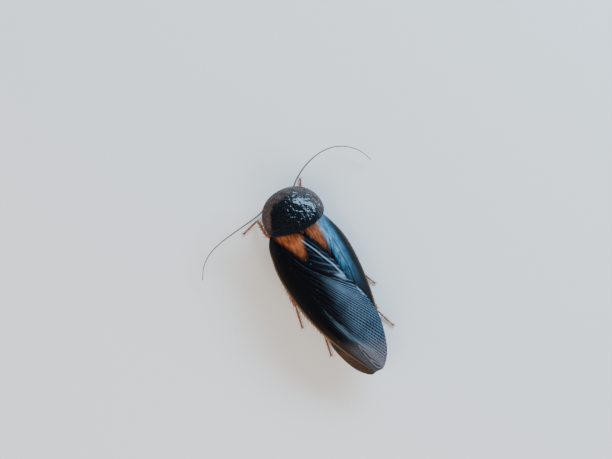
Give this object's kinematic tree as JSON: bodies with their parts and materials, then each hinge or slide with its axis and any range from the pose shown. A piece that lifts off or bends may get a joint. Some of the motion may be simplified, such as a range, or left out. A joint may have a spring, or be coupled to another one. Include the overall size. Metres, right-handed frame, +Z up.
{
  "type": "dubia cockroach model",
  "caption": "Life-size still model of a winged male wood cockroach at rest, its wings folded over its back and its long feelers spread.",
  "frame": {"origin": "on the floor, under the middle of the model's box", "axes": "the head points along -Y and the wing tips along +Y, +X is the animal's left side, +Z is up"},
  "size_m": [0.0442, 0.046, 0.0094],
  "materials": {
    "cuticle": "glossy black-brown body plates",
    "pronotum": "glossy black shield, uneven in the middle, with a clear brown brim",
    "forewing": "satin black-brown leathery wing with fine raised veins and a rust patch at its base",
    "hindwing": "thin smoky brown membrane",
    "abdomen": "satin dark brown plates with rust edges",
    "leg": "satin orange-brown",
    "eye": "glossy black",
    "antenna": "dull grey-brown"
  },
  "bodies": {
    "root": {"abdomen": "abdomen", "antenna_base_left": "antenna", "antenna_base_right": "antenna", "antenna_far_left": "antenna", "antenna_far_right": "antenna", "antenna_near_left": "antenna", "antenna_near_right": "antenna", "cercus_left": "abdomen", "cercus_right": "abdomen", "coxa_fore_left": "cuticle", "coxa_fore_right": "cuticle", "coxa_hind_left": "cuticle", "coxa_hind_right": "cuticle", "coxa_mid_left": "cuticle", "coxa_mid_right": "cuticle", "eye_left": "eye", "eye_right": "eye", "femur_fore_left": "leg", "femur_fore_right": "leg", "femur_hind_left": "leg", "femur_hind_right": "leg", "femur_mid_left": "leg", "femur_mid_right": "leg", "forewing_left": "forewing", "forewing_right": "forewing", "head": "cuticle", "hindwing_left": "hindwing", "hindwing_right": "hindwing", "labial_palp_left": "leg", "labial_palp_right": "leg", "labrum": "leg", "maxillary_palp_left": "leg", "maxillary_palp_right": "leg", "mesothorax": "cuticle", "metathorax": "cuticle", "pronotum": "pronotum", "prothorax": "cuticle", "tarsus_fore_left": "leg", "tarsus_fore_right": "leg", "tarsus_hind_left": "leg", "tarsus_hind_right": "leg", "tarsus_mid_left": "leg", "tarsus_mid_right": "leg", "tibia_fore_left": "leg", "tibia_fore_right": "leg", "tibia_hind_left": "leg", "tibia_hind_right": "leg", "tibia_mid_left": "leg", "tibia_mid_right": "leg"}
  },
  "joints": []
}
